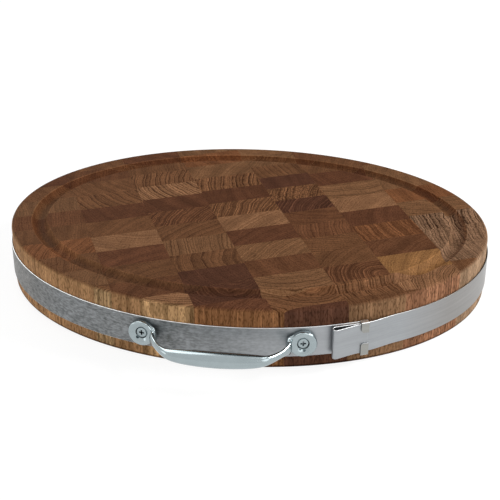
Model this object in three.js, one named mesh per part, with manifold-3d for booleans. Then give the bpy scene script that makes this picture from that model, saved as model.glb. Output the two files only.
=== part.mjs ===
// Oval end-grain chopping block with a juice groove, a steel edge strap and one fixed pull handle.
// Millimetres, Z up. X is the long axis, the handle is on the -Y side, the underside lies on Z = 0.
import * as THREE from 'three';
import { mergeVertices } from 'three/addons/utils/BufferGeometryUtils.js';
import Module from 'manifold-3d';

const wasm = await Module();
wasm.setup();

// board
const boardLength = 320;
const boardWidth = 240;
const boardThickness = 41;
const edgeRadius = 2.5;
const grooveInset = 13.5; // rim to the outer lip of the groove
const grooveWidth = 10.5;
const grooveDepth = 4;

// glued blocks: the sticks run across the board, each cut into blocks along its own length
const grainTurn = 23.7; // degrees between the sticks' cross direction and the long axis
const glueLine = 0.3;
const firstSeam = -0.344; // the glue line between the first two sticks
// width is a share of the slab's reach across the sticks, seam and pitch of its reach along them,
// and first and last count the cuts from seam: past them the off-cut stays on the last block
const sticks = [
  { name: 'a', width: 0.175, seam: -0.0774, pitch: 0.0844, first: 0, last: 3 },
  { name: 'b', width: 0.141, seam: -0.0805, pitch: 0.0841, first: -1, last: 4 },
  { name: 'c', width: 0.1394, seam: -0.068, pitch: 0.0841, first: -2, last: 5 },
  { name: 'd', width: 0.1459, seam: -0.0605, pitch: 0.0848, first: -3, last: 5 },
  { name: 'e', width: 0.1216, seam: -0.0793, pitch: 0.0782, first: -4, last: 5 },
  { name: 'f', width: 0.1378, seam: -0.0389, pitch: 0.0872, first: -3, last: 2 },
  { name: 'g', width: 0.175, seam: -0.0251, pitch: 0.0864, first: -2, last: 1 },
];

// steel strap
const strapWidth = 20;
const strapThickness = 0.7;
const strapBottom = 9;
const seatGap = 0.3; // play left between pieces that touch

// buckle
const buckleX = 76; // place along the long axis
const buckleLength = 21;
const buckleSheet = 0.8;
const buckleLip = 1.3; // how far the plate stands past the strap's edges
const earLength = 4.8;
const earHeight = 7;
const foldRadius = 2; // inside radius of the folded strap end
const stubEnd = 9.2; // end of the folded stub, from the buckle's middle
const earPast = 0.5; // how far the ears reach past the stub's end
const lapShort = 1; // how far the strap's start stops short of the plate's end
const rampLength = 13; // strap climbing from the wood to the plate

// handle
const holeSpacing = 96;
const padDiameter = 16.6;
const padThickness = 3.6;
const gripReach = 21; // grip's middle line from the wood
const gripHeight = 9.3;
const gripThickness = 7;
const neckHeight = 4.4;
const neckThickness = 3.4;
const neckSweep = 1; // how far the neck's knee stands past the grip's ends
const gripSpan = 60; // length of the thick part
const gripBow = 0.5;
const padEdge = 1.4; // rounding of the pad's front
const padFoot = 0.4; // small chamfer at its back

// screws
const screwDiameter = 3.6;
const screwHead = 7;
const screwLength = 24;
const crossWidth = 1;
const crossSpan = 3.8;
const crossDepth = 1.8;
const headRim = 0.4; // straight rim of the head

const rimSteps = 96;
const halfLong = boardLength / 2;
const halfWide = boardWidth / 2;
const strapMiddle = strapBottom + strapWidth / 2;
const up = new THREE.Vector3(0, 0, 1);

function solid(geometry) {
  const bare = geometry.clone();
  bare.deleteAttribute('normal');
  bare.deleteAttribute('uv');
  const joined = mergeVertices(bare);
  return new wasm.Manifold(new wasm.Mesh({
    numProp: 3,
    vertProperties: new Float32Array(joined.attributes.position.array),
    triVerts: new Uint32Array(joined.index.array),
  }));
}

function geometryOf(body) {
  const mesh = body.getMesh();
  const geometry = new THREE.BufferGeometry();
  geometry.setAttribute('position', new THREE.BufferAttribute(new Float32Array(mesh.vertProperties), 3));
  geometry.setIndex(new THREE.BufferAttribute(new Uint32Array(mesh.triVerts), 1));
  geometry.computeVertexNormals();
  return geometry;
}

// A point of the rim moved out along its own normal.
function rimPoint(angle, reach) {
  const normal = new THREE.Vector2(Math.cos(angle) / halfLong, Math.sin(angle) / halfWide).normalize();
  return new THREE.Vector2(halfLong * Math.cos(angle), halfWide * Math.sin(angle)).addScaledVector(normal, reach);
}

// The place on the front rim at a given X: base point, outward normal and direction along the rim.
function rimPlace(x) {
  const angle = -Math.acos(THREE.MathUtils.clamp(x / halfLong, -1, 1));
  const base = rimPoint(angle, 0);
  const out = rimPoint(angle, 1).sub(base);
  return {
    angle,
    base: new THREE.Vector3(base.x, base.y, 0),
    out: new THREE.Vector3(out.x, out.y, 0),
    along: new THREE.Vector3(-out.y, out.x, 0),
  };
}

// Lathe and cylinder shapes have their axis on Y: this turns that axis to the place's outward normal.
function facing(place, reach, height) {
  const frame = new THREE.Matrix4().makeBasis(place.along, place.out, up.clone().negate());
  const spot = place.base.clone().addScaledVector(place.out, reach);
  return frame.setPosition(spot.x, spot.y, height);
}

// A box in a place's own directions: along the rim, outward and up.
function placedBox(place, alongFrom, alongTo, outFrom, outTo, lowZ, highZ) {
  const box = new THREE.BoxGeometry(alongTo - alongFrom, outTo - outFrom, highZ - lowZ);
  box.translate((alongFrom + alongTo) / 2, (outFrom + outTo) / 2, (lowZ + highZ) / 2);
  const frame = new THREE.Matrix4().makeBasis(place.along.clone().negate(), place.out, up);
  frame.setPosition(place.base);
  const mirror = new THREE.Matrix4().makeScale(-1, 1, 1);
  box.applyMatrix4(mirror);
  const index = box.index.array;
  for (let i = 0; i < index.length; i += 3) {
    [index[i], index[i + 1]] = [index[i + 1], index[i]];
  }
  return solid(box.applyMatrix4(frame));
}

const materials = {
  wood: new THREE.MeshStandardMaterial({ color: 0x8a5c3c, roughness: 0.6, metalness: 0 }),
  strap: new THREE.MeshStandardMaterial({ color: 0xa3a6a6, roughness: 0.45, metalness: 1 }),
  zinc: new THREE.MeshStandardMaterial({ color: 0xc9d0d4, roughness: 0.22, metalness: 1 }),
};

const board = new THREE.Group();

function add(name, body, material) {
  const mesh = new THREE.Mesh(geometryOf(body), material);
  mesh.name = name;
  board.add(mesh);
}

// screws and the holes they need
const screwPlaces = [rimPlace(-holeSpacing / 2), rimPlace(holeSpacing / 2)];
const padBack = seatGap + strapThickness + seatGap;
const padFront = padBack + padThickness;
const headSink = (screwHead - screwDiameter) / 2;

function screwProfile(grow) {
  const shank = screwDiameter / 2 + grow;
  const head = screwHead / 2 + grow;
  return [
    new THREE.Vector2(0, -screwLength - grow),
    new THREE.Vector2(shank, -screwLength + screwDiameter - grow),
    new THREE.Vector2(shank, -headSink - headRim),
    new THREE.Vector2(head, -headRim),
    new THREE.Vector2(head, grow > 0 ? padEdge : 0),
    new THREE.Vector2(0, grow > 0 ? padEdge : 0),
  ];
}

const screwHoles = screwPlaces.map((place) => {
  const hole = new THREE.LatheGeometry(screwProfile(seatGap), 20);
  return solid(hole.applyMatrix4(facing(place, padFront, strapMiddle)));
});

screwPlaces.forEach((place, side) => {
  const turned = facing(place, padFront, strapMiddle);
  const bar = new THREE.BoxGeometry(crossSpan, 2 * crossDepth, crossWidth);
  const cross = new THREE.BoxGeometry(crossWidth, 2 * crossDepth, crossSpan);
  const body = solid(new THREE.LatheGeometry(screwProfile(0), 20).applyMatrix4(turned))
    .subtract(solid(bar.applyMatrix4(turned)))
    .subtract(solid(cross.applyMatrix4(turned)));
  add(side === 0 ? 'screw_left' : 'screw_right', body, materials.zinc);
});

// the glued slab before it is parted into blocks
const rimAngles = Array.from({ length: rimSteps }, (_, i) => (i / rimSteps) * 2 * Math.PI);
const rimShape = new THREE.Shape(rimAngles.map((angle) => rimPoint(angle, 0)));
const slabGeometry = new THREE.ExtrudeGeometry(rimShape, {
  depth: boardThickness - 2 * edgeRadius,
  bevelThickness: edgeRadius,
  bevelSize: edgeRadius,
  bevelOffset: -edgeRadius,
  bevelSegments: 3,
});
slabGeometry.translate(0, 0, edgeRadius);

// round-bottomed groove that follows the rim
const coveRadius = (grooveWidth ** 2 / 4 + grooveDepth ** 2) / (2 * grooveDepth);
const coveMiddle = grooveInset + grooveWidth / 2;
const coveSides = 16;
const cove = new THREE.TorusGeometry(halfLong - coveMiddle, coveRadius, coveSides, rimSteps);
const covePlaces = cove.attributes.position;
for (let i = 0; i < covePlaces.count; i += 1) {
  const around = ((i % (rimSteps + 1)) / rimSteps) * 2 * Math.PI;
  const turn = (Math.floor(i / (rimSteps + 1)) / coveSides) * 2 * Math.PI;
  const point = rimPoint(around, -coveMiddle + coveRadius * Math.cos(turn));
  const height = boardThickness - grooveDepth + coveRadius * (1 + Math.sin(turn));
  covePlaces.setXYZ(i, point.x, point.y, height);
}

let slab = solid(slabGeometry).subtract(solid(cove));
screwHoles.forEach((hole) => {
  slab = slab.subtract(hole);
});

// the slab parted along its glue lines
const turnAngle = THREE.MathUtils.degToRad(grainTurn);
const acrossSpan = 2 * Math.hypot(halfLong * Math.cos(turnAngle), halfWide * Math.sin(turnAngle));
const alongSpan = 2 * Math.hypot(halfLong * Math.sin(turnAngle), halfWide * Math.cos(turnAngle));
let stickLow = (firstSeam - sticks[0].width) * acrossSpan;

sticks.forEach((stick, order) => {
  const stickHigh = stickLow + stick.width * acrossSpan;
  const low = order === 0 ? -boardLength : stickLow;
  const high = order === sticks.length - 1 ? boardLength : stickHigh;
  const cuts = [-boardLength];
  for (let k = stick.first; k <= stick.last; k += 1) {
    cuts.push((stick.seam + k * stick.pitch) * alongSpan);
  }
  cuts.push(boardLength);
  for (let k = 0; k + 1 < cuts.length; k += 1) {
    const block = new THREE.BoxGeometry(
      high - low - glueLine,
      cuts[k + 1] - cuts[k] - glueLine,
      boardThickness * 2,
    );
    block.translate((low + high) / 2, (cuts[k] + cuts[k + 1]) / 2, boardThickness / 2);
    block.rotateZ(turnAngle);
    const number = String(k + 1).padStart(2, '0');
    add(`block_${stick.name}${number}`, slab.intersect(solid(block)), materials.wood);
  }
  stickLow = stickHigh;
});

// strap: one strip bent round the board, lapped over its own start and folded back at the buckle
const bucklePlace = rimPlace(buckleX);
const half = strapThickness / 2;
const plateBack = seatGap + strapThickness + seatGap;
const plateFront = plateBack + buckleSheet;
const lapOut = plateFront + seatGap + half;
const stubOut = lapOut + strapThickness + seatGap;
const foldAt = -buckleLength / 2;
const foldTurn = foldRadius + half;
const ringOut = seatGap + half;

function nearBuckle(along, out) {
  const spot = bucklePlace.base.clone();
  spot.addScaledVector(bucklePlace.along, along).addScaledVector(bucklePlace.out, out);
  return new THREE.Vector2(spot.x, spot.y);
}

function alongBuckle(angle) {
  const point = rimPoint(angle, 0);
  return new THREE.Vector3(point.x, point.y, 0).sub(bucklePlace.base).dot(bucklePlace.along);
}

const lapStart = buckleLength / 2 - lapShort;
const rampEnd = buckleLength / 2 + lapShort;
const rampStart = rampEnd + rampLength;
const path = [];
const ringSteps = rimSteps * 2;
const rimSpeed = Math.hypot(halfLong * Math.sin(bucklePlace.angle), halfWide * Math.cos(bucklePlace.angle));

for (let i = 0; i <= ringSteps; i += 1) {
  const angle = bucklePlace.angle + lapStart / rimSpeed - (i / ringSteps) * 2 * Math.PI;
  const along = alongBuckle(angle);
  const nearEnd = i > ringSteps / 2 && Math.abs(along) < rampStart && Math.sin(angle) < 0;
  if (!nearEnd) {
    path.push(rimPoint(angle, ringOut));
  }
}
path.push(nearBuckle(rampEnd, lapOut));
path.push(nearBuckle(foldAt, lapOut));
const foldSteps = 8;
for (let i = 1; i <= foldSteps; i += 1) {
  const turn = (i / foldSteps) * Math.PI;
  path.push(nearBuckle(foldAt - foldTurn * Math.sin(turn), lapOut + foldTurn * (1 - Math.cos(turn))));
}
path.push(nearBuckle(stubEnd - earLength - lapShort, stubOut));
path.push(nearBuckle(stubEnd, stubOut));

function stripShape(points, halfThick) {
  const sides = points.map((point, i) => {
    const before = points[Math.max(i - 1, 0)];
    const after = points[Math.min(i + 1, points.length - 1)];
    const first = point.clone().sub(before).normalize();
    const second = after.clone().sub(point).normalize();
    const run = first.add(second).normalize();
    return new THREE.Vector2(-run.y, run.x).multiplyScalar(halfThick);
  });
  const left = points.map((point, i) => point.clone().add(sides[i]));
  const right = points.map((point, i) => point.clone().sub(sides[i]));
  return new THREE.Shape([...left, ...right.reverse()]);
}

const strapGeometry = new THREE.ExtrudeGeometry(stripShape(path, half), { depth: strapWidth, bevelEnabled: false });
let strap = solid(strapGeometry.translate(0, 0, strapBottom));
screwHoles.forEach((hole) => {
  strap = strap.subtract(hole);
});
add('edge_strap', strap, materials.strap);

// buckle: plate under the lapped strap, with two ears bent over the folded end
const plateLow = strapBottom - buckleLip;
const plateHigh = strapBottom + strapWidth + buckleLip;
const earFrom = stubEnd - earLength + earPast;
const earTo = stubEnd + earPast;
const earBack = stubOut + half + seatGap;
const earFront = earBack + buckleSheet;
const halfPlate = buckleLength / 2;
const buckle = placedBox(bucklePlace, -halfPlate, halfPlate, plateBack, plateFront, plateLow, plateHigh)
  .add(placedBox(bucklePlace, earFrom, earTo, plateBack, earFront, plateHigh - buckleSheet, plateHigh))
  .add(placedBox(bucklePlace, earFrom, earTo, plateBack, earFront, plateLow, plateLow + buckleSheet))
  .add(placedBox(bucklePlace, earFrom, earTo, earBack, earFront, plateHigh - earHeight, plateHigh))
  .add(placedBox(bucklePlace, earFrom, earTo, earBack, earFront, plateLow, plateLow + earHeight));
add('strap_buckle', buckle, materials.strap);

// handle: two round pads joined by a bar that thickens to the grip
const gripY = -halfWide - gripReach;

// half of the bar's middle line, from a pad's inner side out to the grip
function barEnd(place, inward) {
  const root = place.base.clone().addScaledVector(place.along, inward * padDiameter * 0.36);
  root.addScaledVector(place.out, padBack + padThickness * 0.62);
  const knee = new THREE.Vector3(-inward * (gripSpan / 2 + neckSweep), gripY + gripReach * 0.24, 0);
  const shoulder = new THREE.Vector3(-inward * gripSpan / 2 * 0.72, gripY, 0);
  const neck = root.clone().lerp(knee, 0.5);
  return [root, neck, knee, shoulder].map((point) => point.setZ(strapMiddle));
}

const barLine = new THREE.CatmullRomCurve3([
  ...barEnd(screwPlaces[0], 1),
  new THREE.Vector3(0, gripY - gripBow, strapMiddle),
  ...barEnd(screwPlaces[1], -1).reverse(),
]);
const barSteps = 28;
const bar = new THREE.CylinderGeometry(1, 1, 1, 16, barSteps);
const barPlaces = bar.attributes.position;
for (let i = 0; i < barPlaces.count; i += 1) {
  const share = barPlaces.getY(i) + 0.5;
  const point = barLine.getPoint(share);
  const run = barLine.getTangent(share);
  const swell = Math.sin(Math.PI * THREE.MathUtils.clamp((share - 0.13) / 0.74, 0, 1)) ** 0.8;
  const high = (neckHeight + (gripHeight - neckHeight) * swell) / 2;
  const thick = (neckThickness + (gripThickness - neckThickness) * swell) / 2;
  const side = new THREE.Vector3(run.y, -run.x, 0).normalize();
  point.addScaledVector(side, barPlaces.getX(i) * thick).addScaledVector(up, barPlaces.getZ(i) * high);
  barPlaces.setXYZ(i, point.x, point.y, point.z);
}

const padProfile = [
  new THREE.Vector2(0, -padThickness),
  new THREE.Vector2(padDiameter / 2 - padFoot, -padThickness),
  new THREE.Vector2(padDiameter / 2, -padThickness + padFoot),
  new THREE.Vector2(padDiameter / 2, -padEdge),
  new THREE.Vector2(padDiameter / 2 - padEdge * 0.35, -padEdge * 0.35),
  new THREE.Vector2(padDiameter / 2 - padEdge, 0),
  new THREE.Vector2(0, 0),
];
let handle = solid(bar);
screwPlaces.forEach((place, side) => {
  const pad = new THREE.LatheGeometry(padProfile, 28).applyMatrix4(facing(place, padFront, strapMiddle));
  handle = handle.add(solid(pad)).subtract(screwHoles[side]);
});
add('pull_handle', handle, materials.zinc);

export default board;
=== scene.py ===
import math
import random
import bmesh
import bpy
from mathutils import Matrix, Vector, geometry


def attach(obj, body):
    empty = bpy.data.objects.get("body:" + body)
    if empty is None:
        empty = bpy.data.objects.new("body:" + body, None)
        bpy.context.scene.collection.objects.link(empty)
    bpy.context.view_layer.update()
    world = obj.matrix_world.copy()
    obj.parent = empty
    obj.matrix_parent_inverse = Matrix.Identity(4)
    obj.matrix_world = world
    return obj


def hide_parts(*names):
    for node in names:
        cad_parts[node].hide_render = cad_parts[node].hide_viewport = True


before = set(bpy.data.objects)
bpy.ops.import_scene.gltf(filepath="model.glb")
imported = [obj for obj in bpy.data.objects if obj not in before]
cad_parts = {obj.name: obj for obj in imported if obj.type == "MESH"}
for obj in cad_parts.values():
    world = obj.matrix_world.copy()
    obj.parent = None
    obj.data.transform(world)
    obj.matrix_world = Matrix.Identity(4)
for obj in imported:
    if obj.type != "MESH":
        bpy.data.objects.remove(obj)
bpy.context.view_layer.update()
print("frame loaded:", len(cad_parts), "nodes")

mm = 0.001
up = Vector((0, 0, 1))
slack = 0.01 * mm  # a face this close to a level counts as on it
samePlace = 1e-6  # corners this close are one, in metres
sliver = 0.002 * mm  # the thinnest strip that a boolean may leave
foldAngle = math.radians(60)  # a sharper turn between two faces is a sheared edge


# small helpers shared by every piece

def hexColour(text):  # sRGB hex to linear rgba
    linear = []
    for i in (1, 3, 5):
        c = int(text[i:i + 2], 16) / 255
        linear.append(c / 12.92 if c <= 0.04045 else ((c + 0.055) / 1.055) ** 2.4)
    return (*linear, 1.0)


def addNode(tree, kind, settings=None, inputs=None):  # inputs are values, or nodes and sockets to link
    node = tree.nodes.new("ShaderNode" + kind)
    for key, value in (settings or {}).items():
        setattr(node, key, value)
    for key, value in (inputs or {}).items():
        if isinstance(value, bpy.types.Node):
            value = value.outputs[0]
        if isinstance(value, bpy.types.NodeSocket):
            tree.links.new(value, node.inputs[key])
        else:
            node.inputs[key].default_value = value
    return node


def newMaterial(name):
    material = bpy.data.materials.new(name)
    material.use_nodes = True
    material.node_tree.nodes.clear()
    return material, material.node_tree


def setRamp(node, stops):  # stops are (position, linear rgba)
    ramp = node.color_ramp
    while len(ramp.elements) > 1:
        ramp.elements.remove(ramp.elements[-1])
    ramp.elements[0].position, ramp.elements[0].color = stops[0]
    for place, colour in stops[1:]:
        ramp.elements.new(place).color = colour


def grey(value):
    return (value, value, value, 1.0)


def toMesh(bm, name):  # hands the bmesh over to a new mesh
    mesh = bpy.data.meshes.new(name)
    bm.to_mesh(mesh)
    bm.free()
    return mesh


def addObject(name, data):
    thing = bpy.data.objects.new(name, data)
    bpy.context.collection.objects.link(thing)
    return thing


def finishPiece(bm, name, material, nodes, crease):  # crease is the smoothing limit in degrees
    mesh = toMesh(bm, name)
    mesh.materials.append(material)
    mesh.shade_smooth()
    mesh.set_sharp_from_angle(angle=math.radians(crease))
    piece = addObject(name, mesh)
    # keeps flat faces flat beside rounded edges
    weighted = piece.modifiers.new("flatFaces", "WEIGHTED_NORMAL")
    weighted.keep_sharp = True
    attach(piece, "root")
    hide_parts(*nodes)


def rise(edge):
    return abs(edge.verts[0].co.z - edge.verts[1].co.z)


def onlyVerts(geom):
    return [g for g in geom if isinstance(g, bmesh.types.BMVert)]


def onlyEdges(geom):
    return [g for g in geom if isinstance(g, bmesh.types.BMEdge)]


def faceOut(bm):
    bmesh.ops.recalc_face_normals(bm, faces=bm.faces)


def roundOff(bm, geom, size, steps, affect="EDGES"):
    bmesh.ops.bevel(bm, geom=geom, offset=size, segments=steps, profile=0.5, affect=affect,
                    material=-1, clamp_overlap=True)


def thicken(bm, sheet, edgeRound, edgeSteps):  # sheet metal wall, with its sheared edges eased
    bmesh.ops.solidify(bm, geom=bm.faces[:], thickness=-sheet)
    faceOut(bm)
    sheared = [e for e in bm.edges if len(e.link_faces) == 2 and e.calc_face_angle() > foldAngle]
    roundOff(bm, sheared, edgeRound, edgeSteps)


def putAt(bm, matrix):  # the rim's frame is left-handed, so normals are set again
    bmesh.ops.transform(bm, matrix=matrix, verts=bm.verts)
    faceOut(bm)


def loneObject(bm, name):  # a helper object for a boolean, taken out again afterwards
    return addObject(name, toMesh(bm, name))


def joinShapes(base, others, operation):  # boolean of helper objects, given back as one bmesh
    for other in others:
        step = base.modifiers.new(operation, "BOOLEAN")
        step.operation = operation
        step.solver = "EXACT"
        step.use_self = True  # the bar folds over itself a little at its tight bends
        step.object = other
    bpy.context.view_layer.update()
    ready = base.evaluated_get(bpy.context.evaluated_depsgraph_get())
    bm = bmesh.new()
    bm.from_mesh(ready.to_mesh())
    ready.to_mesh_clear()
    bmesh.ops.dissolve_degenerate(bm, dist=sliver, edges=bm.edges)
    for helper in (base, *others):
        mesh = helper.data
        bpy.data.objects.remove(helper)
        bpy.data.meshes.remove(mesh)
    return bm


# the board's own measures, in metres

board = {
    "halfLong": 160 * mm,
    "halfWide": 120 * mm,
    "thickness": 41 * mm,
    "edgeRadius": 2.5 * mm,
    "edgeSteps": 5,
    "grooveInset": 13.5 * mm,
    "grooveWidth": 10.5 * mm,
    "grooveDepth": 4 * mm,
    "lipRadius": 0.5 * mm,
    "lipSteps": 2,
    "rimSteps": 288,
    "coveSteps": 10,
}


def rimPlace(x):  # front rim at a given x: a frame with axes along the rim, outward and up
    long, wide = board["halfLong"], board["halfWide"]
    angle = -math.acos(x / long)
    base = Vector((long * math.cos(angle), wide * math.sin(angle), 0))
    out = Vector((math.cos(angle) / long, math.sin(angle) / wide, 0)).normalized()
    along = Vector((-out.y, out.x, 0))
    place = Matrix((along, out, up)).transposed().to_4x4()
    place.translation = base
    return place


# camera

camera = {
    "place": Vector((91.97, -698.33, 390.24)) * mm,
    "aim": Vector((2.61, -6.24, 20.0)) * mm,
    "lens": 83.84,
    "sensor": 36.0,
    "nearest": 20 * mm,
}
cameraData = bpy.data.cameras.new("photoCamera")
cameraData.lens = camera["lens"]
cameraData.sensor_width = camera["sensor"]
cameraData.clip_start = camera["nearest"]
cameraObject = addObject("photoCamera", cameraData)
cameraObject.location = camera["place"]
cameraObject.rotation_mode = "QUATERNION"
cameraObject.rotation_quaternion = (camera["aim"] - camera["place"]).to_track_quat("-Z", "Y")
bpy.context.scene.camera = cameraObject
print("camera set")


# wood

wood = {
    "tones": {  # end grain of each kind of block
        "pale": "#755136",
        "ashen": "#6e513b",
        "honey": "#825a35",
        "hazel": "#6c4a30",
        "tan": "#624028",
        "cinnamon": "#6d4429",
        "russet": "#5e3b25",
        "chestnut": "#563421",
        "umber": "#4c2e1f",
    },
    "sideTones": {  # long grain on the rim
        "straw": "#a27d55",
        "amber": "#946e4a",
        "wheat": "#8d7055",
        "hazel": "#896648",
        "copper": "#875d42",
        "fawn": "#7d6243",
        "rust": "#795132",
        "cocoa": "#4f3224",
    },
    "standOut": {  # blocks by stick and place along it; the rest are drawn from the usual ones
        "pale": "d0 b0 f0 c3 b-4 f-5",
        "ashen": "g-4 g-3 g-2",
        "honey": "f-4",
        "hazel": "d4 d-4 d-2 c-1 e5 e6 a3 d6 g1 g-1 g2 a-2 f1",
        "tan": "b4 b3 b1 b-2 c5 c4 c0 c-2 d1 d3 d-5 e2 e4 e-2 e-3 e-5 f3 a1 a4 a-1",
        "cinnamon": "a0 d5 f-2 g0",
        "russet": "d-3 b5 e0 e-1 e-4 f-3 c1 a2 b-3",
        "chestnut": "d2 c2 b2 b-1 d-1 f2 f-1 c6 c-5 a5",
        "umber": "c-3 c-4 e1 e3 d-6",
    },
    "usual": ("tan", "tan", "russet"),
    "sideOf": {  # rim blocks whose long grain differs from the usual amber
        "straw": "b-4",
        "hazel": "e-5 e-6",
        "wheat": "g-4 g-5",
        "copper": "f-5 f-6",
        "fawn": "a-3",
        "rust": "c-4 c-5 d-5",
        "cocoa": "d-6",
    },
    "rings": {  # clear growth rings: pith's direction (degrees), its distance, ring pitch (mm), strength
        "b4": (25, 70, 6.0, 0.3), "b3": (25, 70, 4.6, 0.7), "b0": (65, 90, 7.0, 0.35),
        "b-4": (60, 80, 2.2, 0.7), "c4": (-15, 60, 3.4, 0.85), "c3": (20, 90, 2.6, 1.1),
        "c1": (-38, 70, 2.0, -1.1), "c0": (-58, 85, 5.5, 0.4), "c-1": (-10, 60, 2.8, 0.6),
        "c-2": (-8, 42, 6.8, 0.6), "c-4": (60, 20, 2.6, -0.5), "d3": (-16, 120, 3.0, 1.1),
        "d1": (-30, 90, 2.3, -1.1), "d0": (-55, 120, 5.5, 0.35), "d-2": (-50, 90, 1.8, 0.5),
        "d-4": (80, 45, 3.6, 0.7), "d-5": (70, 24, 3.0, 0.7), "e4": (5, 60, 4.0, 0.6),
        "e2": (-25, 60, 2.4, 1.0), "e1": (-35, 60, 2.6, -0.9), "e0": (70, 80, 3.0, 0.4),
        "e-1": (-12, 90, 2.6, 0.5), "e-2": (80, 80, 2.6, -0.6), "e-4": (-30, 16, 2.8, -0.9),
        "e-5": (5, 60, 2.6, 0.9), "f1": (88, 90, 4.2, 0.5), "f-2": (5, 90, 3.6, -0.8),
        "f-5": (-20, 40, 2.4, 0.8), "g-1": (75, 90, 3.0, 0.5), "g-2": (-12, 80, 2.6, 1.3),
        "a0": (-30, 70, 3.0, 0.5), "a-3": (60, 80, 2.2, 0.6), "g-4": (10, 60, 2.4, 0.6),
        "g-3": (-12, 80, 2.6, 0.8),
    },
    "plainRings": {  # the other blocks: mean and spread of the direction, then ranges
        "turn": (-20, 35),
        "reach": (60, 140),
        "pitch": (1.8, 3.4),
        "strength": (0.1, 0.3),
    },
    "speckled": {"e2": 0.65, "g-4": 0.2, "g-3": 0.35, "g-2": 0.4, "d3": 0.25, "f-2": 0.25},  # open pores
    "plainSpeckle": 0.06,
    "shadeSpread": (0.92, 1.08),
    "topShare": 0.95,  # share of the slab's reach that holds the top and its groove
    "wallRise": 0.05,  # a face whose normal rises less is a cut side
    "footFall": -0.95,  # a face whose normal falls further is the underside
    "grooveShare": 0.25,  # cut across the grain, the groove shows little of the long grain tone
    "groove": {  # painted shade darkens and reddens the groove's outer wall, painted light brightens its inner wall, and a painted highlight brightens the lips
        "outerWallShade": (0.74, 0.56, 0.45),
        "innerWallLight": (1.15, 1.15, 1.15),
        "lip": (1.3, 1.3, 1.3),
    },
    "footShadow": (0.45, 0.4, 0.34),  # painted contact shadow darkens the rounded bottom edge
    "seamGap": 0.07 * mm,
    "crease": 32,
    "seed": 7,
}

blocks = {  # the glued layout: shares of the slab's reach across and along the sticks
    "turn": math.radians(23.7),
    "firstSeam": -0.344,
    "seamShifts": {"d-5": 1.6 * mm},  # seams set off from the even pitch
    "mostSteps": 9,  # no stick has more blocks than this on either side of its first seam
    "shortEnd": 2 * mm,  # a shorter end stays on its neighbour
    "sticks": (
        {"name": "a", "width": 0.175, "seam": -0.0774, "pitch": 0.0844, "first": 0, "last": 3},
        {"name": "b", "width": 0.141, "seam": -0.0805, "pitch": 0.0841, "first": -1, "last": 4},
        {"name": "c", "width": 0.1394, "seam": -0.068, "pitch": 0.0841, "first": -2, "last": 5},
        {"name": "d", "width": 0.1459, "seam": -0.0605, "pitch": 0.0848, "first": -3, "last": 5},
        {"name": "e", "width": 0.1216, "seam": -0.0793, "pitch": 0.0782, "first": -4, "last": 5},
        {"name": "f", "width": 0.1378, "seam": -0.0389, "pitch": 0.0872, "first": -3, "last": 2},
        {"name": "g", "width": 0.175, "seam": -0.0251, "pitch": 0.0864, "first": -2, "last": 1},
    ),
}


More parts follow.
